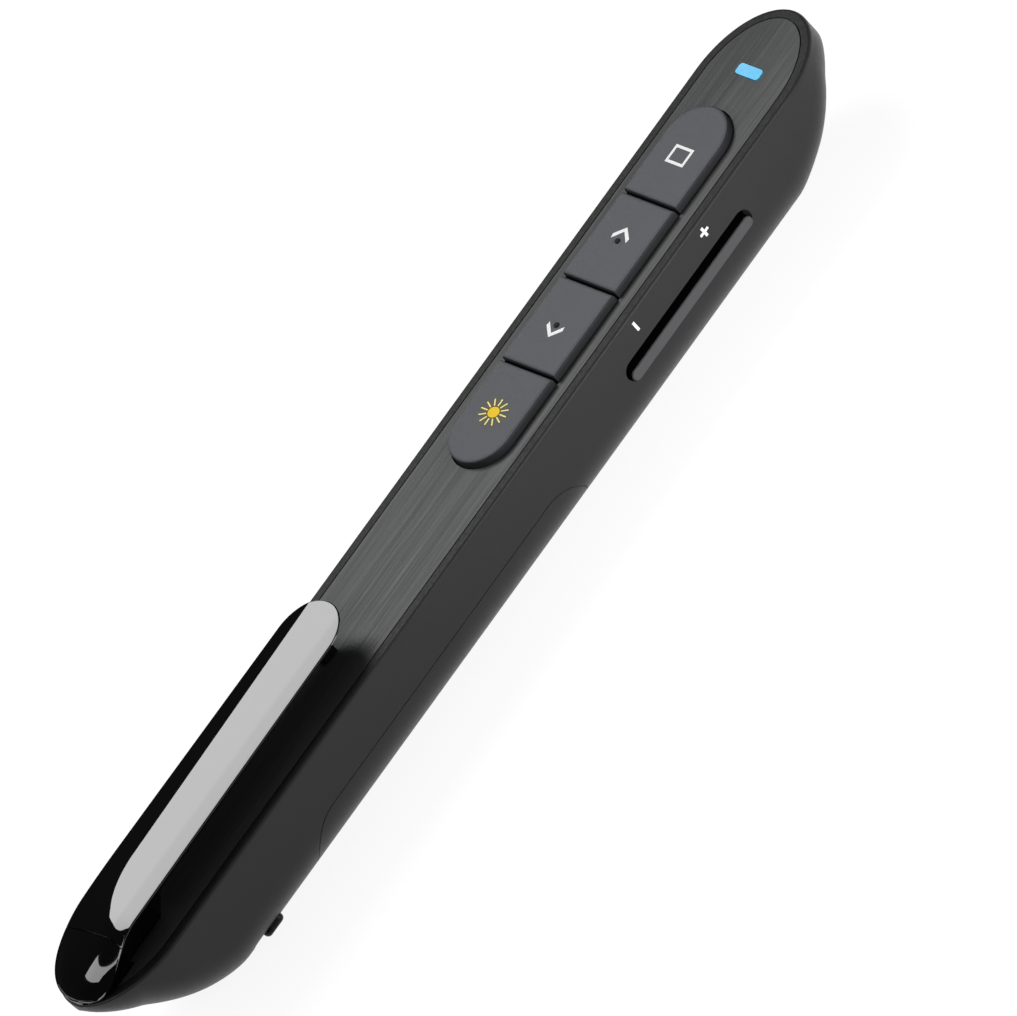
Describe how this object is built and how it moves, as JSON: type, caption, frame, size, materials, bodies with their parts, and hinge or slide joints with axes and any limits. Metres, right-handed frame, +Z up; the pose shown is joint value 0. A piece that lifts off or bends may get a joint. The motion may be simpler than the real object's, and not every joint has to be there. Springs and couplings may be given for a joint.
{
  "type": "wireless presentation clicker",
  "caption": "Slim hand-held presentation remote with a brushed face plate, a strip of press keys, a side volume rocker, a laser, a tail clip and a lift-off battery cover.",
  "frame": {"origin": "middle of the flat underside, half way along the body", "axes": "+X along the body towards the laser nose, +Y to the left of the keys, +Z up out of the face plate"},
  "size_m": [0.145, 0.0165, 0.0182],
  "materials": {
    "soft_black": "matte",
    "plate_grey": "brushed",
    "key_grey": "matte",
    "gloss_black": "gloss",
    "rocker_grey": "satin",
    "lens_blue": "gloss",
    "chassis_black": "satin",
    "board_green": "satin",
    "switch_black": "satin",
    "switch_white": "satin",
    "steel": "satin",
    "brass": "satin",
    "copper": "satin",
    "chip_black": "matte",
    "clear_lens": "gloss",
    "cell_jacket": "gloss"
  },
  "bodies": {
    "root": {"body_shell": "soft_black", "face_plate": "plate_grey", "chassis": "chassis_black", "main_board": "board_green", "key_switches": "switch_black", "board_screws": "steel", "clip_screws": "steel", "radio_shield": "steel", "controller_chip": "chip_black", "radio_crystal": "steel", "board_antenna": "copper", "indicator_led": "switch_white", "indicator_lens": "lens_blue", "laser_barrel": "brass", "laser_diode": "steel", "laser_lens": "clear_lens", "laser_window": "clear_lens", "laser_driver": "board_green", "aaa_cell": "cell_jacket", "battery_spring": "steel", "battery_contact": "steel", "side_switches": "switch_black", "rocker_pin": "steel", "power_switch": "switch_black", "power_board": "board_green", "clip_base": "gloss_black", "clip_pin": "steel", "clip_springs": "steel"},
    "cover": {"battery_cover": "soft_black"},
    "clip": {"pen_clip": "gloss_black"},
    "rocker": {"volume_rocker": "rocker_grey", "rocker_plungers": "switch_white"},
    "knob": {"power_knob": "soft_black"},
    "laser_key": {"key_laser": "key_grey", "plunger_laser": "switch_white"},
    "down_key": {"key_page_down": "key_grey", "plunger_page_down": "switch_white"},
    "up_key": {"key_page_up": "key_grey", "plunger_page_up": "switch_white"},
    "window_key": {"key_window": "key_grey", "plunger_window": "switch_white"}
  },
  "joints": [
    {"name": "laser_key_press", "type": "slide", "parent": "root", "child": "laser_key", "axis": [0, 0, -1], "range_m": [0, 0.00035], "stiffness_N_per_m": 2500},
    {"name": "down_key_press", "type": "slide", "parent": "root", "child": "down_key", "axis": [0, 0, -1], "range_m": [0, 0.00035], "stiffness_N_per_m": 2500},
    {"name": "up_key_press", "type": "slide", "parent": "root", "child": "up_key", "axis": [0, 0, -1], "range_m": [0, 0.00035], "stiffness_N_per_m": 2500},
    {"name": "window_key_press", "type": "slide", "parent": "root", "child": "window_key", "axis": [0, 0, -1], "range_m": [0, 0.00035], "stiffness_N_per_m": 2500},
    {"name": "rocker_tilt", "type": "hinge", "parent": "root", "child": "rocker", "pos_m": [0.03715, -0.00585, 0.008], "axis": [0, 0, 1], "range_deg": [-1.3, 1.3], "stiffness_Nm_per_rad": 1.2},
    {"name": "power_slide", "type": "slide", "parent": "root", "child": "knob", "axis": [-1, 0, 0], "range_m": [0, 0.002]},
    {"name": "clip_lift", "type": "hinge", "parent": "root", "child": "clip", "pos_m": [-0.0615, 0, 0.0156], "axis": [0, -1, 0], "range_deg": [0, 6], "stiffness_Nm_per_rad": 0.3},
    {"name": "cover_lift", "type": "slide", "parent": "root", "child": "cover", "axis": [0, 0, -1], "range_m": [0, 0.02]}
  ]
}
